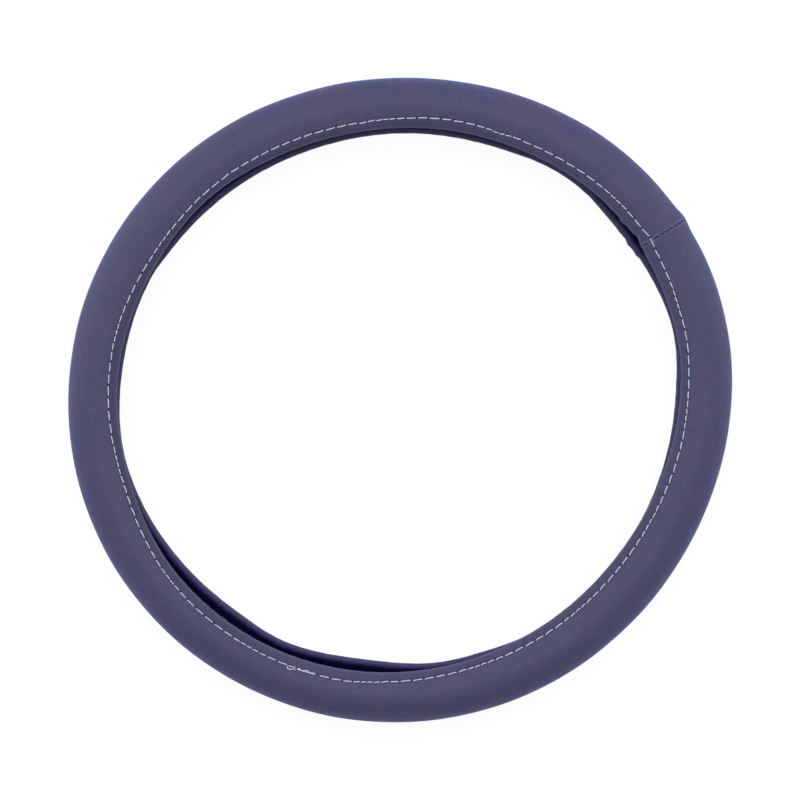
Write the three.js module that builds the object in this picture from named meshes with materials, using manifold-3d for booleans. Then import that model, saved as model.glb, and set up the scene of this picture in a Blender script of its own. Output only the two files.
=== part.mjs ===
// A steering wheel cover: a soft C-section ring that is pulled over the rim of a steering wheel.
// A strip of padded leatherette is sewn end to end, wrapped round a moulded rubber ring, turned in
// over the ring's two lips and topstitched along both of them.
// Millimetres. +Z is up, out of the face that the driver sees; the ring lies on its back.

import * as THREE from "three";
import { mergeVertices } from "three/addons/utils/BufferGeometryUtils.js";
import Module from "manifold-3d";

const DEG = Math.PI / 180;

// The ring, measured at the widest line of its tube
const OUTER_DIAMETER = 380;
const OVAL = 3.5; // what the resting ring is out of round, more and less than the mean radius
const OVAL_ANGLE = 20 * DEG; // where the long axis points
const CORNER = 1.2; // the stiff seam pulls the ring to a blunt corner
const RING_STEPS = 56;

// The tube's section, outside
const TUBE_WIDTH = 38;
const TUBE_HEIGHT = 34;
const CROWN_ANGLE = 12 * DEG; // half the flat at the highest and lowest line
const SIDE_ANGLES = [26 * DEG, 52 * DEG]; // where the walls' flats meet, between the widest line and a crown
const LIP_PAST_MIDDLE = 11.3; // from the tube's middle line in to the edge of a lip, seen from above
const LIP_SHIFT_SPAN = 7; // over this width a lip shifts to its own reach

// How much further in than that each lip lies, every 20 degrees from +X round towards +Y
const FRONT_LIP = [-0.7, 1.2, 0.5, 0.7, -0.5, 0, -0.3, -1.5, -1.4, -0.5, -0.5, -2, -1.9, -0.8, 0.6, 1.9, 2.3, 2];
const BACK_LIP = [1, 1.5, 2.8, 0.3, 1.2, 1.2, 1.6, 0.5, -1.7, -1.4, -0.7, 2.4, 2.5, 4.3, 1, -0.8, -0.8, 0.2];

// The walls
const SKIN = 1.2;
const LINER = 2;
const LINER_EDGE = 1; // the rubber thins to this under the turned-in hem
const CLEARANCE = 0.3; // between any two pieces
const HEM_WIDTH = 9;

// The topstitching
const STITCH_INSET = 5.2; // from the lip's edge, seen from above
const STITCH_PITCH = 6.35;
const THREAD_RADIUS = 0.4;
const THREAD_DIP = -0.18; // the thread's middle over the leather, at a needle hole
const THREAD_CREST = 0.22; // and halfway along a stitch
const GROOVE_DEPTH = 0.9;
const GROOVE_HALF_WIDTH = 1;
const BOBBIN_RADIUS = 0.3;

// The cross seam, where the strip's two ends meet
const SEAM_ANGLE = 32.3 * DEG;
const SEAM_FLAP = 0.7; // a turned-in allowance, skived thin
const SEAM_FLAP_WIDTH = 5;
const SEAM_FLAP_ANGLE = SIDE_ANGLES.at(-1); // how far round the tube the allowances go, each way
const SEAM_BEND = 0.9; // the leather where it turns down
const SEAM_VALLEY_HALF_WIDTH = 1;
const SEAM_VALLEY_DEPTH = 0.9;
const SEAM_BUMP_WIDTH = 16; // over this width, each side, the bump dies away
const SEAM_THREAD_RADIUS = 0.2;
const SEAM_THREAD_DEPTH = 0.35;

const LEATHER = { color: 0x544f70, roughness: 0.62, metalness: 0 };
const RUBBER = { color: 0x16161b, roughness: 0.8, metalness: 0 };
const PALE_THREAD = { color: 0xb9b8c6, roughness: 0.6, metalness: 0 };
const DARK_THREAD = { color: 0x2b2746, roughness: 0.6, metalness: 0 };

const meanRadius = OUTER_DIAMETER / 2;
const halfWidth = TUBE_WIDTH / 2;
const halfHeight = TUBE_HEIGHT / 2;
const crownHeight = halfHeight * Math.cos(CROWN_ANGLE);
const lipReach = halfWidth + LIP_PAST_MIDDLE; // from the widest line
const lipMiddle = (2 * SKIN + 2 * CLEARANCE + LINER_EDGE) / 2;
const hemDepth = SKIN + CLEARANCE + LINER_EDGE + CLEARANCE;
const seamLift = SEAM_FLAP + CLEARANCE;

// Places round the tube, as angles from its widest line
const lipAngle = Math.acos((halfWidth - lipReach + lipMiddle) / (halfWidth - lipMiddle));
const stitchAngle = Math.acos((halfWidth - lipReach + STITCH_INSET) / halfWidth);
const grooveAngle = GROOVE_HALF_WIDTH / halfHeight;
const hemEndAngle = lipAngle - HEM_WIDTH / (halfHeight - hemDepth + SKIN);
const linerEdgeAngle = lipAngle - CLEARANCE / (halfHeight - lipMiddle);
const crownStart = Math.PI / 2 - CROWN_ANGLE;
const crownEnd = Math.PI / 2 + CROWN_ANGLE;

const wasm = await Module();
wasm.setup();

function smoothstep(t) {
  const x = THREE.MathUtils.clamp(t, 0, 1);
  return x * x * (3 - 2 * x);
}

// A value from a table of evenly spaced places round the ring, smooth from one to the next.
function roundTheRing(table, theta) {
  const at = THREE.MathUtils.euclideanModulo(theta / (2 * Math.PI), 1) * table.length;
  const first = Math.floor(at);
  const [a, b, c, d] = [-1, 0, 1, 2].map((k) => table[(first + k + table.length) % table.length]);
  const t = at - first;
  return b + 0.5 * t * (c - a + t * (2 * a - 5 * b + 4 * c - d + t * (3 * (b - c) + d - a)));
}

function outerRadius(theta) {
  let radius = meanRadius + OVAL * Math.cos(2 * (theta - OVAL_ANGLE));
  for (let k = 3; k <= 5; k++) {
    radius += CORNER * (3 / k) ** 3.5 * Math.cos(k * (theta - SEAM_ANGLE));
  }
  return radius;
}

// A point of the tube's wall: an angle round the tube and a depth below its outer face.
function wall(phi, depth) {
  return new THREE.Vector2((halfWidth - depth) * Math.cos(phi), (halfHeight - depth) * Math.sin(phi));
}

// Carries a point of the flat section to its place on the ring.
function place(theta, point) {
  const table = point.y > 0 ? FRONT_LIP : BACK_LIP;
  const shift = roundTheRing(table, theta) * smoothstep(-point.x / LIP_SHIFT_SPAN);
  const radius = outerRadius(theta) - halfWidth + point.x - shift;
  return new THREE.Vector3(radius * Math.cos(theta), radius * Math.sin(theta), point.y + crownHeight);
}

// The angles at which the strip is lofted: close together at the seam, even everywhere else.
const seamArc = [CLEARANCE / 2, SEAM_VALLEY_HALF_WIDTH, SEAM_FLAP_WIDTH + CLEARANCE].map((s) => s / meanRadius);
const evenAngles = Array.from({ length: RING_STEPS - 1 }, (_, i) => ((i + 1) * 2 * Math.PI) / RING_STEPS);
const stripAngles = [...seamArc, ...evenAngles, ...seamArc.map((a) => 2 * Math.PI - a).reverse()].map(
  (a) => SEAM_ANGLE + a,
);

// A place on the strip's own flats, so that a finer piece keeps its distance from them.
function onStrip(theta, point) {
  const at = SEAM_ANGLE + THREE.MathUtils.euclideanModulo(theta - SEAM_ANGLE, 2 * Math.PI);
  const ends = [stripAngles.at(-1) - 2 * Math.PI, ...stripAngles, stripAngles[0] + 2 * Math.PI];
  const next = ends.findIndex((a) => a > at);
  const [from, to] = [ends[next - 1], ends[next]];
  return place(from, point).lerp(place(to, point), (at - from) / (to - from));
}

// Joins rings of points, one after another, into a closed surface. An open loft gets flat ends.
function loft(rings, closed) {
  const count = rings[0].length;
  const positions = rings.flat().flatMap((p) => p.toArray());
  const index = [];
  const last = closed ? rings.length : rings.length - 1;
  for (let i = 0; i < last; i++) {
    const here = i * count;
    const there = ((i + 1) % rings.length) * count;
    for (let j = 0; j < count; j++) {
      const k = (j + 1) % count;
      index.push(here + j, there + j, there + k, here + j, there + k, here + k);
    }
  }
  if (!closed) {
    const along = rings[1][0].clone().sub(rings[0][0]).normalize();
    const flat = rings[0].map((p) => flatten(p, rings[0][0], along));
    for (const [a, b, c] of THREE.ShapeUtils.triangulateShape(flat, [])) {
      const far = (rings.length - 1) * count;
      index.push(a, b, c, far + a, far + c, far + b);
    }
  }
  const geometry = new THREE.BufferGeometry();
  geometry.setAttribute("position", new THREE.Float32BufferAttribute(positions, 3));
  geometry.setIndex(index);
  geometry.computeVertexNormals();
  return geometry;
}

// A point of a section seen along the loft, for filling an end.
function flatten(point, origin, along) {
  const side = new THREE.Vector3(along.y, -along.x, 0).normalize();
  const offset = point.clone().sub(origin);
  return new THREE.Vector2(offset.dot(side), offset.z);
}

function toManifold(geometry) {
  const bare = new THREE.BufferGeometry();
  bare.setAttribute("position", geometry.getAttribute("position"));
  bare.setIndex(geometry.index);
  const merged = mergeVertices(bare, 1e-4);
  return new wasm.Manifold(
    new wasm.Mesh({
      numProp: 3,
      vertProperties: new Float32Array(merged.getAttribute("position").array),
      triVerts: new Uint32Array(merged.index.array),
    }),
  );
}

function toGeometry(manifold) {
  const mesh = manifold.getMesh();
  const geometry = new THREE.BufferGeometry();
  geometry.setAttribute("position", new THREE.Float32BufferAttribute(mesh.vertProperties, 3));
  geometry.setIndex(new THREE.Uint32BufferAttribute(mesh.triVerts, 1));
  geometry.computeVertexNormals();
  return geometry;
}

// The same angles on the front (up) half and the back (down) half, as one run from back to front.
function bothHalves(angles) {
  return [...angles.map((a) => -a).reverse(), 0, ...angles];
}

// How far the leather stands over the allowances beside the seam: nothing at the crowns and lips.
function seamRise(arc, phi) {
  const along = 1 - smoothstep((arc - SEAM_FLAP_WIDTH) / (SEAM_BUMP_WIDTH - SEAM_FLAP_WIDTH));
  const around = 1 - smoothstep((Math.abs(phi) - SEAM_FLAP_ANGLE) / (crownStart - SEAM_FLAP_ANGLE));
  return seamLift * along * around;
}

// How far the leather turns down into the seam.
function seamDrop(arc) {
  const across = (SEAM_VALLEY_HALF_WIDTH - arc) / (SEAM_VALLEY_HALF_WIDTH - CLEARANCE / 2);
  return SEAM_VALLEY_DEPTH * THREE.MathUtils.clamp(across, 0, 1);
}

// The leather's section: outer face, fold over the front lip, hem, underside, hem and fold again.
function skinSection(theta) {
  const fromSeam = THREE.MathUtils.euclideanModulo(theta - SEAM_ANGLE, 2 * Math.PI);
  const arc = Math.min(fromSeam, 2 * Math.PI - fromSeam) * meanRadius;
  const outerAngles = [...SIDE_ANGLES, crownStart, crownEnd];
  const grooveAngles = [stitchAngle - grooveAngle, stitchAngle, stitchAngle + grooveAngle];
  const outer = bothHalves([...outerAngles, ...grooveAngles]).map((phi) => {
    const inGroove = Math.abs(Math.abs(phi) - stitchAngle) < 1e-9;
    const depth = (inGroove ? GROOVE_DEPTH : 0) - seamRise(arc, phi) + seamDrop(arc);
    return wall(phi, Math.min(depth, SKIN - CLEARANCE));
  });
  const under = bothHalves([...SIDE_ANGLES, crownStart, crownEnd, lipAngle])
    .reverse()
    .map((phi) => wall(phi, SKIN - seamRise(arc, phi)));
  return [...outer, ...fold(1), ...hem(1), ...under, ...hem(-1).reverse(), ...fold(-1).reverse()].map((p) =>
    place(theta, p),
  );
}

// The round edge of a lip, with the hem's start. side is 1 for the front lip and -1 for the back one.
function fold(side) {
  const middle = wall(side * lipAngle, lipMiddle);
  const outward = wall(side * lipAngle, 0).sub(wall(side * lipAngle, lipMiddle)).normalize();
  const inward = new THREE.Vector2(-outward.y * side, outward.x * side);
  return [40 * DEG, -40 * DEG].map((turn) =>
    middle
      .clone()
      .addScaledVector(outward, lipMiddle * Math.sin(turn))
      .addScaledVector(inward, lipMiddle * Math.cos(turn)),
  );
}

// The turned-in edge: its face towards the channel, its raw end, and its face towards the rubber.
function hem(side) {
  return [
    wall(side * stitchAngle, hemDepth + SKIN),
    wall(side * hemEndAngle, hemDepth + SKIN),
    wall(side * hemEndAngle, hemDepth),
    wall(side * lipAngle, hemDepth),
  ];
}

// One of the two seam allowances: it turns down at the seam and lies back under the leather.
function seamAllowance(side) {
  const arcs = [
    [CLEARANCE / 2 + 0.05, 0],
    [SEAM_BEND, 0],
    [SEAM_BEND + 0.05, SKIN - SEAM_FLAP],
    [SEAM_FLAP_WIDTH, SKIN - SEAM_FLAP],
  ];
  const rings = arcs.map(([arc, top]) => {
    const theta = SEAM_ANGLE + (side * arc) / meanRadius;
    const upper = bothHalves(SIDE_ANGLES).map((phi) => wall(phi, top));
    const lower = bothHalves(SIDE_ANGLES).map((phi) => wall(phi, SKIN));
    return [...upper, ...lower.reverse()].map((p) => place(theta, p));
  });
  return loft(side > 0 ? rings : rings.reverse(), false);
}

function leatherSkin() {
  const strip = toManifold(loft(stripAngles.map(skinSection), false));
  const joined = [1, -1].reduce((body, side) => body.add(toManifold(seamAllowance(side))), strip);
  return toGeometry(joined);
}

// The moulded ring: full thickness round the tube, thin under each hem.
function rubberLiner() {
  const outerDepth = SKIN + CLEARANCE;
  const section = [
    ...bothHalves([...SIDE_ANGLES, crownStart, crownEnd, linerEdgeAngle]).map((phi) => wall(phi, outerDepth)),
    wall(linerEdgeAngle, outerDepth + LINER_EDGE),
    wall(hemEndAngle, outerDepth + LINER_EDGE),
    ...[40 * DEG, 0, -40 * DEG].map((phi) => wall(phi, outerDepth + LINER)),
    wall(-hemEndAngle, outerDepth + LINER_EDGE),
    wall(-linerEdgeAngle, outerDepth + LINER_EDGE),
  ];
  return loft(
    stripAngles.map((theta) => section.map((p) => place(theta, p))),
    true,
  );
}

// A three-sided thread, at a height over the leather's face and with one corner towards it.
function threadSection(theta, phi, depth, height, radius) {
  const middle = wall(phi, depth);
  const outward = wall(phi, depth - 1).sub(middle).normalize();
  const across = new THREE.Vector2(-outward.y, outward.x);
  return [150 * DEG, 30 * DEG, -90 * DEG].map((turn) =>
    onStrip(
      theta,
      middle
        .clone()
        .addScaledVector(outward, height + radius * Math.sin(turn))
        .addScaledVector(across, radius * Math.cos(turn)),
    ),
  );
}

// The needle thread of one lip: it dips at each needle hole and stands proud along each stitch.
function topThread(side) {
  const stitchRadius = meanRadius - lipReach + STITCH_INSET;
  const stitches = Math.round((2 * Math.PI * stitchRadius) / STITCH_PITCH);
  const rings = [];
  for (let i = 0; i < 2 * stitches; i++) {
    const height = i % 2 ? THREAD_CREST : THREAD_DIP;
    rings.push(threadSection((i * Math.PI) / stitches, side * stitchAngle, 0, height, THREAD_RADIUS));
  }
  return loft(rings, true);
}

// The bobbin thread runs along the hem inside the channel, under the needle thread.
function bobbinThread(side) {
  const depth = hemDepth + SKIN + CLEARANCE + BOBBIN_RADIUS;
  const rings = stripAngles.map((theta) => threadSection(theta, side * stitchAngle, depth, 0, BOBBIN_RADIUS));
  return loft(rings, true);
}

// The seam's own thread lies in the valley, across the face from one crown to the other.
function seamThread() {
  const rings = bothHalves([...SIDE_ANGLES, crownStart, crownEnd]).map((phi) => {
    const middle = wall(phi, SEAM_THREAD_DEPTH - seamRise(0, phi));
    const outward = wall(phi, -1).sub(wall(phi, 0)).normalize();
    return [0, 1, 2, 3].map((k) => {
      const turn = (k * Math.PI) / 2;
      const point = middle.clone().addScaledVector(outward, SEAM_THREAD_RADIUS * Math.sin(turn));
      return place(SEAM_ANGLE + (SEAM_THREAD_RADIUS * Math.cos(turn)) / meanRadius, point);
    });
  });
  return loft(rings, false);
}

function piece(name, geometry, look) {
  const mesh = new THREE.Mesh(geometry, new THREE.MeshStandardMaterial(look));
  mesh.name = name;
  return mesh;
}

const cover = new THREE.Group();
cover.name = "steering_wheel_cover";
cover.add(
  piece("cover_skin", leatherSkin(), LEATHER),
  piece("rubber_liner", rubberLiner(), RUBBER),
  piece("front_top_thread", topThread(1), PALE_THREAD),
  piece("back_top_thread", topThread(-1), PALE_THREAD),
  piece("front_bobbin_thread", bobbinThread(1), DARK_THREAD),
  piece("back_bobbin_thread", bobbinThread(-1), DARK_THREAD),
  piece("cross_seam_thread", seamThread(), DARK_THREAD),
);

// The origin is under the middle of the ring's box.
const box = new THREE.Box3().setFromObject(cover);
cover.position.set(-(box.min.x + box.max.x) / 2, -(box.min.y + box.max.y) / 2, 0);

export default cover;
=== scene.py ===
import math

import bpy
import numpy as np
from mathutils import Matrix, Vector


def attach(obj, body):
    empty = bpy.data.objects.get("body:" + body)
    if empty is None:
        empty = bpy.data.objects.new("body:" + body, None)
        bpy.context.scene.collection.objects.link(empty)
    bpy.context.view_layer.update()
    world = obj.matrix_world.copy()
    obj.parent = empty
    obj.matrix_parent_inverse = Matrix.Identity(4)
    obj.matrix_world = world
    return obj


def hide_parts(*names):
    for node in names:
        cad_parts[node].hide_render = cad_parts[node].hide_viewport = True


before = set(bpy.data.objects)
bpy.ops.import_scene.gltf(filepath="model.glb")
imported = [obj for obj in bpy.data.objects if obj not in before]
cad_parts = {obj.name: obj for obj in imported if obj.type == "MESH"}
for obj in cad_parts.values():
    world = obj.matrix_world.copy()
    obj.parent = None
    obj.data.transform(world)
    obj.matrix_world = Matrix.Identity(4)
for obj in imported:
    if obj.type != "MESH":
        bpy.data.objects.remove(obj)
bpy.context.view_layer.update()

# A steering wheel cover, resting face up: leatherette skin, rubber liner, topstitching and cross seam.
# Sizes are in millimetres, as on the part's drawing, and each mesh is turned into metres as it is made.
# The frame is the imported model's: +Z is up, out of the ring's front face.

MM = 0.001
DEG = math.pi / 180
TURN = 2 * math.pi

# The ring as it rests. Angles are in degrees, from +X round towards +Y.
OUTER_RADIUS = 190
# Its outer edge is a little out of round: waves to a turn, their height, and the angle of a crest
OUT_OF_ROUND = [(1, 0.9, 90), (2, 3.55, 20), (3, 1.2, 31), (4, 0.45, 30)]
# How far in from the outer edge each lip lies, at the angles where its course changes
FRONT_LIP = [(0, 31.3), (10, 30.7), (22, 31.5), (42, 30.5), (62, 30.8), (82, 30.2), (103, 30.8),
             (118, 30.7), (133, 29.5), (152, 30.3), (175, 29.5), (195, 30.4), (218, 28.5),
             (250, 28.8), (285, 31.6), (300, 32.4), (325, 32.9)]
BACK_LIP = [(0, 31.5), (14, 30.1), (30, 32.9), (40, 33.2), (50, 30.9), (58, 30.6), (67, 31.7),
            (90, 31.2), (112, 32.1), (132, 31.9), (147, 30.7), (153, 29.3), (172, 29.2),
            (190, 28.3), (202, 30.1), (216, 32.6), (232, 34), (244, 32.5), (262, 34.5),
            (278, 31.8), (288, 31.5), (300, 29.7), (325, 29.9)]
RING_CENTRE = (0, 0.3)
# At the stiff seam the outer edge has a blunt corner, and the soft lips beside it lie in puckers.
# Each of these is an angle, its spread in degrees, and its height.
SEAM_CORNER = [(32.9, 1.8, 0.85), (33, 8, -0.35)]
FRONT_PUCKERS = [(34.5, 1, -1.1), (36.4, 1.2, -0.6), (38.7, 0.8, 0.45), (32.4, 0.9, 0.3)]
BACK_PUCKERS = [(28.5, 2.5, -0.35)]
BACK_STEP = (31, 34.8, 1.3)  # the back lip stands further in from one angle to the other, softly
BACK_STEP_DEPTH = 1.05

# The tube's section, as in the CAD model
TUBE_WIDTH = 38
TUBE_HEIGHT = 34
CROWN_ANGLE = 12 * DEG
LIP_REACH = 30.3
LIP_SHIFT_SPAN = 9
SAG = 1.5  # the leather is drawn flat from the crown to the stitching
SAG_PLACE = -5
SAG_WIDTH = 5.5
SAG_FADE = 6
SKIN = 1.2
UNDER_DEPTH = 0.9  # of the underside's corners, so that its flats stay clear of the liner
LINER = 2
LINER_EDGE = 1
CLEARANCE = 0.3
HEM_WIDTH = 9

# The topstitching. It starts and ends with a few stitches sewn back over themselves.
BACK_INSET = 5.2
FRONT_INSET = 4.95
# Where the sewer let it wander: the angle, the spread, and how much further it lies from the lip
WANDER = [(3, 9, -0.5), (33, 11, 1.3), (80, 10, 0.8), (138, 17, -1.4), (165, 9, 0.5), (200, 12, -1.1),
          (245, 22, 0.6), (258, 6, 0.9), (287, 10, -0.4), (69.7, 1.5, -0.7), (98, 1.5, -0.35),
          (126.7, 1, 0.3), (267.4, 1.2, -0.3)]
STITCH_START = 253.5
STITCH_END = 607.2
LOCK_HOLES = [608.9, 610.4, 611.7, 613.5]
PAUSES = [21, 44, 71, 95, 148, 169, 195, 220, 241, 264, 287, 311, 335, 358]
LONG_STITCH = 2.42  # degrees round the ring
UNEVEN_STITCH = 0.12  # degrees
PAUSE_CUT = 1.1  # degrees that a stitch loses beside a pause
PAUSE_SPREAD = 4  # degrees
THREAD_RADIUS = 0.3
THREAD_CREST = 0.3
THREAD_DIVE = 2.1
BOBBIN_RADIUS = 0.25
GROOVE_DEPTH = 0.3
GROOVE_WIDTH = 0.8
HOLE_DEPTH = 0.4
HOLE_WIDTH = 0.7
PUCKER = 0.12
DEEPEST_DENT = 0.75  # so that the outer face stays clear of the underside

# The cross seam
SEAM_ANGLE = 32.25 * DEG
SEAM_PITCH = 3
SEAM_SPAN = 5.1
SEAM_STEP = 0.3
SEAM_VALLEY = 0.2
SEAM_RIDGE = 0.2
SEAM_BED = 0.5
SEAM_THREAD_RADIUS = 0.32
SEAM_THREAD_LOWEST = 0.4  # over the ground that the cover rests on

half_width = TUBE_WIDTH / 2
half_height = TUBE_HEIGHT / 2
crown_height = half_height * math.cos(CROWN_ANGLE)
lip_middle = (2 * SKIN + 2 * CLEARANCE + LINER_EDGE) / 2
hem_depth = SKIN + 2 * CLEARANCE + LINER_EDGE
lip_angle = math.acos((half_width - LIP_REACH + lip_middle) / (half_width - lip_middle))
hem_end_angle = lip_angle - HEM_WIDTH / (half_height - hem_depth + SKIN)


def course(places, theta):
    """A smooth closed course through a few places, each an angle in degrees and a value."""
    angles, values = (np.array(column, float) for column in zip(*places))
    angles = np.concatenate([angles[-2:] - 360, angles, angles[:2] + 360]) * DEG
    values = np.concatenate([values[-2:], values, values[:2]])
    slopes = (values[2:] - values[:-2]) / (angles[2:] - angles[:-2])
    angles, values = angles[1:-1], values[1:-1]
    theta = np.mod(theta, TURN)
    k = np.clip(np.searchsorted(angles, theta, side="right") - 1, 0, len(angles) - 2)
    span = angles[k + 1] - angles[k]
    t = (theta - angles[k]) / span
    bend = t * (1 - t) * span * ((1 - t) * slopes[k] - t * slopes[k + 1])
    return values[k] + (values[k + 1] - values[k]) * smoothstep(t) + bend


def apart(theta, angle):
    """How far theta lies from an angle, the short way round, in radians."""
    return np.mod(theta - angle + math.pi, TURN) - math.pi


def bump(theta, angle, width):
    """A smooth rise and fall round an angle; both are in degrees."""
    return np.exp(-((apart(theta, angle * DEG) / (width * DEG)) ** 2))


def swells(places, theta):
    """Smooth rises and falls round a few angles, added up."""
    return sum(height * bump(theta, angle, spread) for angle, spread, height in places)


def between(theta, start, end, soft):
    """1 from one angle to another with soft ends, in degrees."""
    after = smoothstep(apart(theta, start * DEG) / (soft * DEG) + 0.5)
    before = smoothstep(-apart(theta, end * DEG) / (soft * DEG) + 0.5)
    return after * before


def waves(seed, theta, counts):
    """A slow unevenness between about -1 and 1: sines with seeded phases, so many to a turn."""
    random = np.random.default_rng(seed)
    total = sum(np.sin(n * theta + random.uniform(0, TURN)) for n in counts)
    return total / math.sqrt(len(counts) / 2) / 2


def smoothstep(t):
    x = np.clip(t, 0, 1)
    return x * x * (3 - 2 * x)


def outer_radius(theta):
    """The ring's outer edge, with the blunt corner that the stiff seam makes."""
    waviness = sum(height * np.cos(count * (theta - crest * DEG)) for count, height, crest in OUT_OF_ROUND)
    return OUTER_RADIUS + waviness + swells(SEAM_CORNER, theta)


def lip_shift(theta, front):
    """How much further in than LIP_REACH a lip lies, with the waves of its gathered edge."""
    near_seam = bump(theta, 37, 8)
    front_shift = course(FRONT_LIP, theta) - LIP_REACH + swells(FRONT_PUCKERS, theta)
    front_shift = front_shift + waves(11, theta, (61, 83, 107, 131)) * (0.06 + 0.12 * near_seam)
    back_shift = course(BACK_LIP, theta) - LIP_REACH + swells(BACK_PUCKERS, theta)
    back_shift = back_shift + BACK_STEP_DEPTH * between(theta, *BACK_STEP)
    back_shift = back_shift + waves(23, theta, (47, 71, 97, 127)) * (0.07 + 0.1 * near_seam)
    return np.where(front, front_shift, back_shift)


def place(theta, u, w):
    """Carries a point of the flat section to its place on the ring, in millimetres."""
    shift = lip_shift(theta, w > 0) * smoothstep(-u / LIP_SHIFT_SPAN)
    radius = outer_radius(theta) - half_width + u - shift
    sag = SAG * np.exp(-(((u - SAG_PLACE) / SAG_WIDTH) ** 2)) * np.clip(w / SAG_FADE, -1, 1)
    x = radius * np.cos(theta) + RING_CENTRE[0]
    y = radius * np.sin(theta) + RING_CENTRE[1]
    z = np.maximum(w - sag + crown_height, 0)
    return np.stack([x, y, z], -1)


def wall(phi, depth):
    """A point of the section: its angle round the tube, and its depth under the plain outer face."""
    return (half_width - depth) * np.cos(phi), (half_height - depth) * np.sin(phi)


def stitch_angle(theta, side):
    """Where the topstitching lies round the tube, with the places where the sewer let it wander."""
    if side > 0:
        width = course(FRONT_LIP, theta) - FRONT_INSET - swells(WANDER, theta)
    else:
        width = lip_shift(theta, False) + LIP_REACH - BACK_INSET
    u = half_width - width
    for _ in range(5):
        u = half_width - width + lip_shift(theta, side > 0) * smoothstep(-u / LIP_SHIFT_SPAN)
    return np.arccos(u / half_width)


def needle_holes(seed):
    """The angles of the needle holes. The sewer slows down and takes short stitches at each pause."""
    random = np.random.default_rng(seed)
    holes = [STITCH_START]
    while holes[-1] < STITCH_END:
        nearest = min(abs((holes[-1] + LONG_STITCH / 2 - p + 180) % 360 - 180) for p in PAUSES)
        cut = PAUSE_CUT * math.exp(-((nearest / PAUSE_SPREAD) ** 2))
        holes.append(holes[-1] + LONG_STITCH - cut + random.uniform(-UNEVEN_STITCH, UNEVEN_STITCH))
    scale = (STITCH_END - STITCH_START) / (holes[-1] - STITCH_START)
    return [STITCH_START + (h - STITCH_START) * scale for h in holes]


run_holes = np.array(needle_holes(5)) * DEG
all_holes = np.concatenate([run_holes, np.array(LOCK_HOLES) * DEG])


def from_hole(theta):
    """Distance along the ring to the nearest needle hole, in millimetres."""
    ordered = np.sort(np.mod(all_holes[:-1], TURN))
    ordered = np.concatenate([[ordered[-1] - TURN], ordered, [ordered[0] + TURN]])
    t = np.mod(theta, TURN)
    after = np.clip(np.searchsorted(ordered, t), 1, len(ordered) - 1)
    gap = np.minimum(t - ordered[after - 1], ordered[after] - t)
    return gap * (OUTER_RADIUS - LIP_REACH)


def seam_lift(theta, phi):
    """The cross seam: a valley between two turned edges, on the thick bed of its allowances."""
    arc = apart(theta, SEAM_ANGLE) * OUTER_RADIUS
    turned = np.abs(phi)
    valley = -SEAM_VALLEY * np.exp(-((arc / 0.4) ** 2))
    edges = SEAM_RIDGE * np.exp(-(((np.abs(arc) - 1.1) / 0.6) ** 2))
    bed = SEAM_BED * (1 - smoothstep((np.abs(arc) - 1.5) / 7)) * (1 - smoothstep((turned - 0.9) / 0.5))
    bed = bed * (0.5 + 0.5 * smoothstep(turned / 0.7))
    return (valley + edges) * smoothstep(turned / 0.5) + bed


def face_lift(theta, phi, with_holes=True):
    """How far the leather stands over the plain tube."""
    lift = seam_lift(theta, phi)
    lift = lift + 0.1 * waves(3, theta + 0.3 * phi, (7, 11, 16, 23)) * np.cos(phi / 2)
    hole = from_hole(theta)
    for side in (1, -1):
        off = (phi - side * stitch_angle(theta, side)) * half_height * side
        lift = lift - GROOVE_DEPTH * np.exp(-((off / GROOVE_WIDTH) ** 2))
        if with_holes:
            lift = lift - HOLE_DEPTH * np.exp(-((off / HOLE_WIDTH) ** 2) - (hole / HOLE_WIDTH) ** 2)
        beside = np.exp(-(((off - 2.2) / 1.4) ** 2)) + 0.5 * np.exp(-(((off + 2.2) / 1.4) ** 2))
        lift = lift + PUCKER * beside * (1 - 2 * np.exp(-((hole / 1.6) ** 2)))
    return np.maximum(lift, -DEEPEST_DENT)


def mesh_piece(name, points, faces, materials):
    """A new object with smooth faces, from points in millimetres."""
    mesh = bpy.data.meshes.new(name)
    mesh.from_pydata((points * MM).tolist(), [], faces)
    mesh.validate()
    mesh.polygons.foreach_set("use_smooth", [True] * len(mesh.polygons))
    for material in materials:
        mesh.materials.append(material)
    mesh.update()
    piece = bpy.data.objects.new(name, mesh)
    bpy.context.scene.collection.objects.link(piece)
    return piece


def quad_grid(rows, columns, closed_rows, closed_columns):
    """The faces of a grid of points, row after row."""
    i = np.arange(rows if closed_rows else rows - 1)[:, None]
    j = np.arange(columns if closed_columns else columns - 1)[None, :]
    down, right = (i + 1) % rows, (j + 1) % columns
    quads = [i * columns + j, down * columns + j, down * columns + right, i * columns + right]
    return np.stack([q + np.zeros_like(i + j) for q in quads], -1).reshape(-1, 4)


def ring_stations():
    """Angles round the ring, on and beside each needle hole, and close together at the cross seam."""
    beside = 0.55 / (OUTER_RADIUS - LIP_REACH)
    steps = []
    for start, end in zip(all_holes[:-1], all_holes[1:]):
        count = max(3, round((end - start) / DEG * 2))
        steps += [start, *np.linspace(start + beside, end - beside, count)]
    steps = np.array(steps)
    span = SEAM_SPAN / OUTER_RADIUS
    steps = steps[np.abs(apart(steps, SEAM_ANGLE)) > span]
    fine = SEAM_ANGLE + np.linspace(-span, span, 2 * round(SEAM_SPAN / SEAM_STEP) + 1)
    return np.sort(np.mod(np.concatenate([steps, fine]), TURN))


def outer_angles(theta, side):
    """Places round the tube from the widest line to one lip, closest beside the stitching."""
    stitched = stitch_angle(theta, side)
    groove = np.array([-1.6, -1, -0.6, -0.3, 0, 0.3, 0.6, 1, 1.6]) / half_height
    start, end = stitched + groove[0], stitched + groove[-1]
    rows = [start * t for t in np.linspace(0, 1, 12)[1:-1]]
    rows += [stitched + g for g in groove]
    rows += [end + (lip_angle - end) * t for t in (0.35, 0.7, 1)]
    return [side * r for r in rows]


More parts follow.
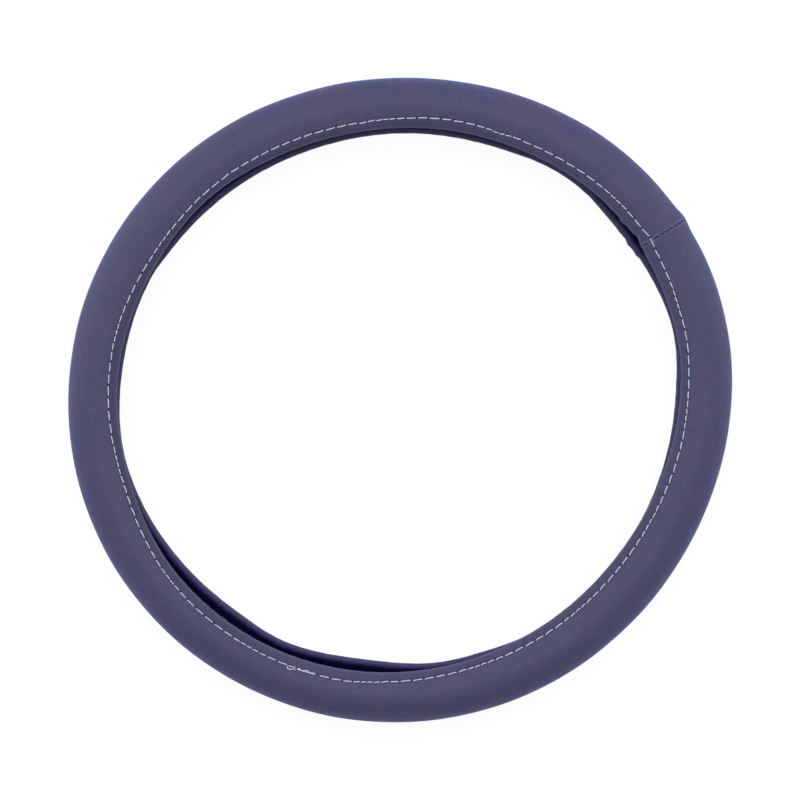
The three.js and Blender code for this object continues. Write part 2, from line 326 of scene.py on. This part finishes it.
def lip_fold(side):
    """The round edge of a lip, from its outer face to its hem."""
    mu, mw = wall(side * lip_angle, lip_middle)
    ou, ow = wall(side * lip_angle, 0)
    length = math.hypot(ou - mu, ow - mw)
    out = ((ou - mu) / length, (ow - mw) / length)
    ahead = (-out[1] * side, out[0] * side)
    rows = []
    for turn in (60, 30, 0, -30, -60, -90):
        s, c = lip_middle * math.sin(turn * DEG), lip_middle * math.cos(turn * DEG)
        rows.append((mu + out[0] * s + ahead[0] * c, mw + out[1] * s + ahead[1] * c))
    return rows


def leather_skin(material, backing):
    """The skin as one closed shell: outer face, both folds, both hems and the underside."""
    theta = ring_stations()
    level = 0 * theta
    back = outer_angles(theta, -1)[::-1]
    front = outer_angles(theta, 1)
    face = [*back, level, *front]

    def hem(side):
        gathers = 0.16 * waves(31, theta, (151, 197, 263))
        rows = []
        for t in (0.1, 0.2, 0.32, 0.45, 0.7, 1):
            angle = side * (lip_angle + (hem_end_angle - lip_angle) * t)
            rows.append((place(theta, *wall(angle, hem_depth + SKIN + gathers)), "hem", 4 + t * HEM_WIDTH))
        rows.append((place(theta, *wall(side * hem_end_angle + level, hem_depth)), "raw", 4 + HEM_WIDTH))
        rows.append((place(theta, *wall(side * lip_angle + level, hem_depth)), "under", 0))
        return rows

    def folds(side):
        arcs = np.maximum(0, np.arange(6) - 1) * lip_middle * 30 * DEG
        return [(place(theta, u + level, w + level), "fold", s) for (u, w), s in zip(lip_fold(side), arcs)]

    under = [wall(a + level, UNDER_DEPTH) for a in np.linspace(lip_angle, -lip_angle, 11)]
    rows = [(place(theta, *wall(phi, -face_lift(theta, phi))), "face", 0) for phi in face]
    rows += folds(1) + hem(1)
    rows += [(place(theta, u, w), "under", 0) for u, w in under]
    rows += hem(-1)[::-1] + folds(-1)[::-1]
    grid = np.stack([row[0] for row in rows], 1)
    zones = np.array([row[1] for row in rows])
    inside = np.array([row[2] for row in rows], float)
    stations, count = grid.shape[:2]
    faces = quad_grid(stations, count, True, True).tolist()
    piece = mesh_piece("leather_skin", grid.reshape(-1, 3), faces, [material, backing])
    hidden = (zones == "raw") | (zones == "under")
    raw = zones == "raw"
    backed = (hidden & np.roll(hidden, -1)) | raw | np.roll(raw, -1)
    piece.data.polygons.foreach_set("material_index", np.tile(backed.astype(np.int32), stations))

    # What the materials go by: distances along the ring and round the section, and each kind of place.
    mean = grid.mean(0)
    around = np.concatenate([[0], np.cumsum(np.linalg.norm(np.diff(mean, axis=0), axis=1))]) * MM
    hole, painted_lip_shade = np.zeros((stations, count)), np.zeros((stations, count))
    for k, phi in enumerate(face):
        side = 1 if k > len(back) else -1
        off = (side * phi - stitch_angle(theta, side)) * half_height
        hole[:, k] = np.exp(-((off / 0.6) ** 2) - (from_hole(theta) / 0.6) ** 2)
        # painted shade on the band from the stitching to the lip, where the leather turns away from the
        # light
        painted_lip_shade[:, k] = smoothstep((off + 1) / 2)
    painted_lip_shade[:, zones == "fold"] = 0.4
    painted_lip_shade *= (1 + 0.55 * np.cos(theta - 130 * DEG))[:, None]  # painted shade, deeper where the lip turns away from the light
    # a painted highlight along the rounded edge of each lip
    painted_lip_highlight = np.zeros(count)
    for first, ahead in ((len(face) - 1, 1), (0, -1)):
        painted_lip_highlight[[first, first + ahead, first + 2 * ahead]] = (0.5, 1, 0.5)
    arc = np.abs(apart(theta, SEAM_ANGLE)) * OUTER_RADIUS
    seam_edge = np.exp(-(((arc - 1.2) / 0.5) ** 2))
    late = 0.65 + 0.65 * np.cos(theta - 95 * DEG)  # millimetres by which the painted shade in the channel starts further in
    point_attribute(piece, "hem", np.tile(np.isin(zones, ("hem", "fold")).astype(float), stations))
    point_attribute(piece, "inside", np.maximum(inside[None] - late[:, None], 0).ravel())
    point_attribute(piece, "painted_lip_highlight", np.tile(painted_lip_highlight, stations))
    point_attribute(piece, "needle_hole_shade", hole.ravel())
    point_attribute(piece, "painted_lip_shade", painted_lip_shade.ravel())
    point_attribute(piece, "seam_edge", (seam_edge[:, None] * (zones == "face")).ravel())
    point_attribute(piece, "along", np.repeat(theta * OUTER_RADIUS * MM, count))
    point_attribute(piece, "around", np.tile(around, stations))
    return piece


def point_attribute(piece, name, values):
    attribute = piece.data.attributes.new(name, "FLOAT", "POINT")
    attribute.data.foreach_set("value", np.asarray(values, np.float32))


def liner_ring(material):
    """The moulded rubber ring, with anti-slip ribs running round inside the channel."""
    theta = np.linspace(0, TURN, 720, endpoint=False)
    outer_depth = SKIN + CLEARANCE
    edge = lip_angle - CLEARANCE / (half_height - lip_middle)
    section = [wall(a, outer_depth) for a in np.linspace(-edge, edge, 17)]
    section += [wall(edge, outer_depth + LINER_EDGE), wall(hem_end_angle, outer_depth + LINER_EDGE)]
    ribs = 9
    rib_end = 0.98 * hem_end_angle
    for a in np.linspace(rib_end, -rib_end, ribs * 4 + 1):
        rise = 0.5 + 0.5 * math.cos(a / rib_end * ribs * math.pi)
        taper = smoothstep((hem_end_angle - abs(a)) / 0.35)
        depth = outer_depth + LINER_EDGE + (LINER - LINER_EDGE - 0.5 + 0.5 * rise) * taper
        section.append(wall(a, depth))
    section += [wall(-hem_end_angle, outer_depth + LINER_EDGE), wall(-edge, outer_depth + LINER_EDGE)]
    grid = np.stack([place(theta, u + 0 * theta, w + 0 * theta) for u, w in section], 1)
    faces = quad_grid(*grid.shape[:2], True, True).tolist()
    return mesh_piece("liner_ring", grid.reshape(-1, 3), faces, [material])


def thread_piece(name, paths, radius, material, sides=10, turn_step=0.85, plies=3):
    """Twisted threads: one closed tube along each path. paths is threads x points x 3."""
    threads, count = paths.shape[:2]
    ahead = np.gradient(paths, axis=1)
    ahead /= np.linalg.norm(ahead, axis=2, keepdims=True)
    across = np.cross(ahead, np.array([0, 0, 1.0]))
    across /= np.linalg.norm(across, axis=2, keepdims=True) + 1e-9
    normal = np.cross(across, ahead)
    from_end = np.minimum(np.arange(count), np.arange(count)[::-1])
    radii = radius * np.minimum(1, 0.35 + 0.65 * from_end / 1.5)
    angle = np.arange(sides) * TURN / sides
    lobes = 1 + 0.14 * np.cos(plies * (angle[None, :] - np.arange(count)[:, None] * turn_step))
    r = radii[None, :, None] * lobes[None]
    points = (
        paths[:, :, None, :]
        + (r * np.cos(angle))[..., None] * across[:, :, None, :]
        + (r * np.sin(angle))[..., None] * normal[:, :, None, :]
    ).reshape(-1, 3)
    size = count * sides
    tube = quad_grid(count, sides, False, True)
    quads = (tube[None] + size * np.arange(threads)[:, None, None]).reshape(-1, 4).tolist()
    caps = [list(range(t * size, t * size + sides)) for t in range(threads)]
    caps += [list(range((t + 1) * size - sides, (t + 1) * size))[::-1] for t in range(threads)]
    return mesh_piece(name, points, quads + caps, [material])


def over_face(theta, phi, lift):
    """Points at a height over the leather's own face."""
    return place(theta, *wall(phi, -(face_lift(theta, phi, False) + lift)))


def top_stitches(name, holes, side, seed, material, steps=17):
    """The needle thread from each hole to the next: up, over the leather at a slant, and down again."""
    random = np.random.default_rng(seed)
    t = np.linspace(0, 1, steps)
    theta = holes[:-1, None] + (holes[1:] - holes[:-1])[:, None] * t[None]
    count = len(theta)
    slant = random.uniform(0.04, 0.2, (count, 1)) * (t[None] - 0.5) * 2
    drift = random.uniform(-0.1, 0.1, (count, 1))
    phi = side * (stitch_angle(theta, side) + (slant + drift) / half_height)
    tight = random.uniform(-0.05, 0.06, (count, 1))
    lift = THREAD_CREST + tight - THREAD_DIVE * np.abs(2 * t[None] - 1) ** 3.9
    return thread_piece(name, over_face(theta, phi, lift), THREAD_RADIUS, material)


# The stitches sewn back over themselves, and their small loop. Each line is one thread:
# angles in degrees, and offsets outwards from the stitch line in millimetres.
LOCK_STITCHES = [
    [(247.3, -0.1), (247.75, 0.1), (248.2, 0), (248.75, -0.3)],
    [(247.25, 0.1), (247.15, 1.2), (247.3, 2.1), (247.65, 2.5)],
    [(247.45, 2.5), (247.9, 2.0), (248.4, 1.3), (248.95, 0.7)],
    [(249.0, 0.2), (249.4, 0.5), (249.9, 0.4), (250.4, -0.1)],
    [(249.1, -0.3), (249.6, -0.1), (250.1, 0.3), (250.7, 0.6)],
    [(250.3, 0.3), (250.8, -0.5), (251.2, -0.7), (251.5, -0.1)],
    [(250.3, -0.3), (250.8, 0.2), (251.3, 0.3), (251.8, -0.2)],
    [(251.4, 0.4), (251.9, 0.1), (252.4, -0.4), (253.0, -0.2)],
    [(251.5, -0.5), (251.9, 0.2), (252.3, 0.4), (252.8, 0)],
]


def lock_stitches(material, steps=13):
    paths = []
    for k, line in enumerate(LOCK_STITCHES):
        angles, offsets = zip(*line)
        t = np.linspace(0, len(line) - 1, steps)
        theta = np.interp(t, range(len(line)), angles) * DEG
        phi = stitch_angle(theta, 1) - np.interp(t, range(len(line)), offsets) / half_height
        s = np.linspace(-1, 1, steps)
        paths.append(over_face(theta, phi, 0.22 + 0.12 * (k % 3) - 0.8 * np.abs(s) ** 6))
    return thread_piece("lock_stitches", np.stack(paths), THREAD_RADIUS * 0.9, material)


def bobbin_stitches(name, holes, side, material):
    """The bobbin thread's stitches, on the hem's face inside the channel."""
    t = np.linspace(0, 1, 9)
    theta = holes[:-1, None] + (holes[1:] - holes[:-1])[:, None] * t[None]
    depth = hem_depth + SKIN + BOBBIN_RADIUS - 0.9 * np.abs(2 * t[None] - 1) ** 4
    paths = place(theta, *wall(side * stitch_angle(theta, side), depth))
    return thread_piece(name, paths, BOBBIN_RADIUS, material, sides=8)


def seam_stitches(material):
    """The cross seam's own stitches, along its valley from one lip to the other."""
    pitch = SEAM_PITCH / half_height
    count = int(lip_angle / pitch)
    middles = (np.arange(-count, count) + 0.5) * pitch
    t = np.linspace(-0.5, 0.5, 9)
    phi = middles[:, None] + t[None] * pitch * 0.72
    theta = SEAM_ANGLE + 0.1 / OUTER_RADIUS * np.sin(t[None] * TURN) + 0 * phi
    sunk = 0.5 * (1 - smoothstep(np.abs(phi) / 0.6))
    paths = over_face(theta, phi, 0.12 - sunk - 0.7 * np.abs(2 * t[None]) ** 4)
    paths[..., 2] = np.maximum(paths[..., 2], SEAM_THREAD_LOWEST)
    return thread_piece("seam_stitches", paths, SEAM_THREAD_RADIUS, material, sides=8)


class Shader:
    """A material's node tree, built one node at a time."""

    def __init__(self, name, color, roughness, specular=0.5):
        self.material = bpy.data.materials.new(name)
        self.material.use_nodes = True
        self.nodes = self.material.node_tree.nodes
        self.links = self.material.node_tree.links
        self.shader = self.nodes["Principled BSDF"]
        self.shader.inputs["Base Color"].default_value = (*color, 1)
        self.shader.inputs["Roughness"].default_value = roughness
        self.shader.inputs["Specular IOR Level"].default_value = specular

    def put(self, socket, value):
        if isinstance(value, bpy.types.NodeSocket):
            self.links.new(value, socket)
        else:
            socket.default_value = (*value, 1) if isinstance(value, tuple) and len(value) < 4 else value

    def add(self, kind, inputs=None, **settings):
        node = self.nodes.new("ShaderNode" + kind)
        for key, value in settings.items():
            setattr(node, key, value)
        for key, value in (inputs or {}).items():
            if isinstance(value, bpy.types.NodeSocket):
                self.links.new(value, node.inputs[key])
            else:
                node.inputs[key].default_value = value
        return node

    def place(self):
        return self.add("TexCoord").outputs["Object"]

    def noise(self, scale, detail=3, roughness=0.5, vector=None):
        vector = vector or self.place()
        inputs = {"Vector": vector, "Scale": scale, "Detail": detail, "Roughness": roughness}
        return self.add("TexNoise", inputs).outputs["Fac"]

    def ramp(self, value, low, high, to_low=0, to_high=1):
        inputs = {"Value": value, "From Min": low, "From Max": high, "To Min": to_low, "To Max": to_high}
        return self.add("MapRange", inputs).outputs["Result"]

    def math(self, operation, a, b):
        return self.add("Math", {0: a, 1: b}, operation=operation).outputs[0]

    def mix(self, factor, a, b):
        node = self.add("Mix", data_type="RGBA")
        for socket, value in zip((node.inputs[0], node.inputs[6], node.inputs[7]), (factor, a, b)):
            self.put(socket, value)
        return node.outputs[2]

    def attribute(self, name):
        return self.add("Attribute", attribute_name=name).outputs["Fac"]

    def bump(self, height, distance, strength=1, normal=None):
        inputs = {"Height": height, "Distance": distance, "Strength": strength}
        if normal:
            inputs["Normal"] = normal
        return self.add("Bump", inputs).outputs["Normal"]

    def sheen(self, weight, roughness, tint):
        self.shader.inputs["Sheen Weight"].default_value = weight
        self.shader.inputs["Sheen Roughness"].default_value = roughness
        self.shader.inputs["Sheen Tint"].default_value = (*tint, 1)

    def finish(self, color=None, normal=None, roughness=None):
        for name, value in (("Base Color", color), ("Normal", normal), ("Roughness", roughness)):
            if value:
                self.links.new(value, self.shader.inputs[name])
        return self.material


def srgb(red, green, blue):
    """A colour as it looks on screen, 0 to 255, as the linear values that a shader takes."""
    linear = []
    for c in (red, green, blue):
        c /= 255
        linear.append(c / 12.92 if c <= 0.04045 else ((c + 0.055) / 1.055) ** 2.4)
    return tuple(linear)


def leather_material():
    s = Shader("leatherette", srgb(78, 76, 114), 0.56, 0.28)
    s.sheen(0.7, 0.37, srgb(118, 146, 238))
    cloud = s.ramp(s.noise(75, 3, 0.6), 0.35, 0.65)
    color = s.mix(cloud, srgb(70, 76, 112), srgb(83, 73, 110))
    fleck = s.ramp(s.noise(420, 4, 0.6), 0.35, 0.65)
    color = s.mix(s.math("MULTIPLY", fleck, 0.35), color, srgb(92, 90, 127))
    pores = s.add("TexVoronoi", {"Vector": s.place(), "Scale": 1600}, feature="DISTANCE_TO_EDGE").outputs[0]
    creases = s.ramp(pores, 0, 0.16)
    color = s.mix(s.math("MULTIPLY", s.math("SUBTRACT", 1, creases), 0.16), color, srgb(48, 45, 72))
    # painted shade on the lip band: greyer and darker
    color = s.mix(s.math("MULTIPLY", s.attribute("painted_lip_shade"), 0.34), color, srgb(42, 48, 72))
    # paler along both edges of the cross seam, in patches: partly the stretched leather's own paler colour,
    # partly a painted highlight on the ridges
    stretched_and_lit_seam_edge = s.math("MULTIPLY", s.attribute("seam_edge"), s.ramp(s.noise(700, 2), 0.35, 0.6, 0.05, 0.4))
    color = s.mix(stretched_and_lit_seam_edge, color, srgb(134, 128, 166))
    # painted highlight along the lips' edges
    color = s.mix(s.math("MULTIPLY", s.attribute("painted_lip_highlight"), 0.2), color, srgb(134, 130, 166))
    # painted shade in the needle holes
    color = s.mix(s.math("MULTIPLY", s.attribute("needle_hole_shade"), 0.6), color, srgb(24, 22, 40))
    # painted shade in the channel: the hem darkens from just inside the lip, faintly at first, under the
    # front lip's overhang
    depth = s.math("ADD", s.attribute("inside"), s.noise(300, 3))
    color = s.mix(s.ramp(depth, 1.6, 3.6, 0, 0.8), color, srgb(60, 56, 122))
    channel_shade = s.ramp(depth, 2.8, 5.5, 0, 0.98)
    color = s.mix(channel_shade, color, srgb(7, 9, 44))
    s.put(s.shader.inputs["Sheen Weight"], s.math("MULTIPLY", s.math("SUBTRACT", 1, channel_shade), 0.7))
    s.put(s.shader.inputs["Specular IOR Level"], s.math("MULTIPLY", s.math("SUBTRACT", 1, channel_shade), 0.28))
    wrinkle_at = s.add("CombineXYZ", {"X": s.attribute("along"), "Y": s.attribute("around")}).outputs[0]
    stretched = s.add("Mapping", {"Vector": wrinkle_at, "Scale": (1, 0.12, 1)}).outputs[0]
    gathers = s.math("MULTIPLY", s.noise(560, 2, vector=stretched), s.attribute("hem"))
    normal = s.bump(creases, 0.00006, 0.6)
    normal = s.bump(s.noise(2600, 2), 0.00003, 0.5, normal)
    normal = s.bump(gathers, 0.0006, 0.8, normal)
    normal = s.bump(s.noise(110, 3), 0.0004, 0.3, normal)
    rough = s.ramp(s.noise(60, 3), 0.3, 0.7, 0.52, 0.6)
    return s.finish(color, normal, rough)


def backing_material():
    """The knitted back of the leatherette, on its raw edge and underside."""
    s = Shader("knit_backing", srgb(70, 68, 82), 0.9, 0.2)
    along = s.math("MULTIPLY", s.attribute("along"), 5200)
    around = s.math("MULTIPLY", s.attribute("around"), 5200)
    weave = s.math("MULTIPLY", s.math("SINE", along, 0), s.math("SINE", around, 0))
    color = s.mix(s.ramp(weave, -1, 1), srgb(58, 56, 70), srgb(84, 82, 98))
    return s.finish(color, s.bump(weave, 0.00015, 0.6))


def rubber_material():
    s = Shader("liner_rubber", srgb(18, 19, 34), 0.72, 0.3)
    color = s.mix(s.ramp(s.noise(45, 3), 0.3, 0.7), srgb(14, 15, 28), srgb(22, 23, 38))
    dust = s.ramp(s.noise(700, 4), 0.6, 0.75)
    color = s.mix(s.math("MULTIPLY", dust, 0.2), color, srgb(54, 55, 72))
    normal = s.bump(s.noise(1800, 3), 0.0001, 0.5)
    return s.finish(color, normal, s.ramp(s.noise(200, 2), 0.3, 0.7, 0.66, 0.8))


def thread_material(name, dark, pale):
    """Spun thread: its fibres are finer than its plies, which are in the mesh."""
    s = Shader(name, pale, 0.6, 0.3)
    s.sheen(0.2, 0.4, (1, 1, 1))
    fibres = s.noise(4200, 3)
    color = s.mix(s.ramp(fibres, 0.35, 0.65), dark, pale)
    color = s.mix(s.ramp(s.noise(90, 2), 0.35, 0.65, 0, 0.25), color, dark)
    return s.finish(color, s.bump(fibres, 0.00006, 0.6))


def ride_and_name(piece, slot, *nodes):
    if nodes:
        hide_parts(*nodes)
    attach(piece, "root")
    return piece


def white_floor():
    """A white floor: bright where the camera sees it, dimmer as a source of light on the cover."""
    half = 3
    mesh = bpy.data.meshes.new("floor")
    corners = [(-half, -half, 0), (half, -half, 0), (half, half, 0), (-half, half, 0)]
    mesh.from_pydata(corners, [], [(0, 1, 2, 3)])
    floor = bpy.data.objects.new("floor", mesh)
    floor.location.z = -0.0002
    bpy.context.scene.collection.objects.link(floor)
    s = Shader("white_floor", (0.45, 0.45, 0.45), 0.9, 0.1)
    bright = s.add("BsdfDiffuse", {"Color": (0.85, 0.85, 0.85, 1)}).outputs[0]
    glow = s.add("Emission", {"Strength": 1.07}).outputs[0]
    seen = s.add("MixShader", {0: 0.86, 1: bright, 2: glow}).outputs[0]
    path = s.add("LightPath")
    looked_at = s.math("MAXIMUM", path.outputs["Is Camera Ray"], path.outputs["Is Glossy Ray"])
    mix = s.add("MixShader", {0: looked_at, 1: s.shader.outputs[0], 2: seen}).outputs[0]
    s.links.new(mix, s.nodes["Material Output"].inputs["Surface"])
    mesh.materials.append(s.material)


def add_softbox(name, location, size, power):
    light = bpy.data.lights.new(name, "AREA")
    light.shape = "SQUARE"
    light.size = size
    light.energy = power
    lamp = bpy.data.objects.new(name, light)
    lamp.location = location
    lamp.rotation_euler = (-Vector(location)).to_track_quat("-Z", "Y").to_euler()
    bpy.context.scene.collection.objects.link(lamp)


def add_light():
    world = bpy.data.worlds.new("studio")
    bpy.context.scene.world = world
    world.use_nodes = True
    nodes, links = world.node_tree.nodes, world.node_tree.links
    lighting, seen = nodes["Background"], nodes.new("ShaderNodeBackground")
    for background, strength in ((lighting, 0.35), (seen, 1)):
        background.inputs["Color"].default_value = (1, 1, 1, 1)
        background.inputs["Strength"].default_value = strength
    path, mix = nodes.new("ShaderNodeLightPath"), nodes.new("ShaderNodeMixShader")
    links.new(path.outputs["Is Camera Ray"], mix.inputs[0])
    links.new(lighting.outputs[0], mix.inputs[1])
    links.new(seen.outputs[0], mix.inputs[2])
    links.new(mix.outputs[0], nodes["World Output"].inputs["Surface"])
    add_softbox("softbox_top", (0, 0.6, 2.25), 1.6, 27.7)
    add_softbox("softbox_right", (1.95, 1.02, 0.35), 1, 13.3)
    add_softbox("softbox_left", (-1.99, 0.93, 0.35), 1, 15.5)


def add_camera():
    """Straight above the ring. The frame is 464.4 mm wide at the tube's middle height."""
    height = 1.6
    half_frame = 232.2 * MM
    camera = bpy.data.cameras.new("camera")
    camera.sensor_width = 36
    camera.lens = camera.sensor_width / 2 * height / half_frame
    eye = bpy.data.objects.new("camera", camera)
    eye.location = (0, 0, height + crown_height * MM)
    bpy.context.scene.collection.objects.link(eye)
    bpy.context.scene.camera = eye


add_camera()
add_light()
white_floor()
bpy.context.scene.view_settings.view_transform = "Standard"

pale_thread = thread_material("pale_thread", srgb(196, 202, 226), srgb(240, 246, 255))
dark_thread = thread_material("dark_thread", srgb(26, 24, 46), srgb(44, 40, 70))

skin = ride_and_name(leather_skin(leather_material(), backing_material()), "leatherette", "cover_skin")
liner = ride_and_name(liner_ring(rubber_material()), "liner_rubber", "rubber_liner")
front = top_stitches("front_stitches", run_holes, 1, 41, pale_thread)
ride_and_name(front, "pale_thread", "front_top_thread")
lock = ride_and_name(lock_stitches(pale_thread), "pale_thread")
back = top_stitches("back_stitches", all_holes, -1, 43, pale_thread)
ride_and_name(back, "pale_thread", "back_top_thread")
front_bobbin = bobbin_stitches("front_bobbin_stitches", all_holes, 1, dark_thread)
back_bobbin = bobbin_stitches("back_bobbin_stitches", all_holes, -1, dark_thread)
ride_and_name(front_bobbin, "dark_thread", "front_bobbin_thread")
ride_and_name(back_bobbin, "dark_thread", "back_bobbin_thread")
seam = ride_and_name(seam_stitches(dark_thread), "dark_thread", "cross_seam_thread")
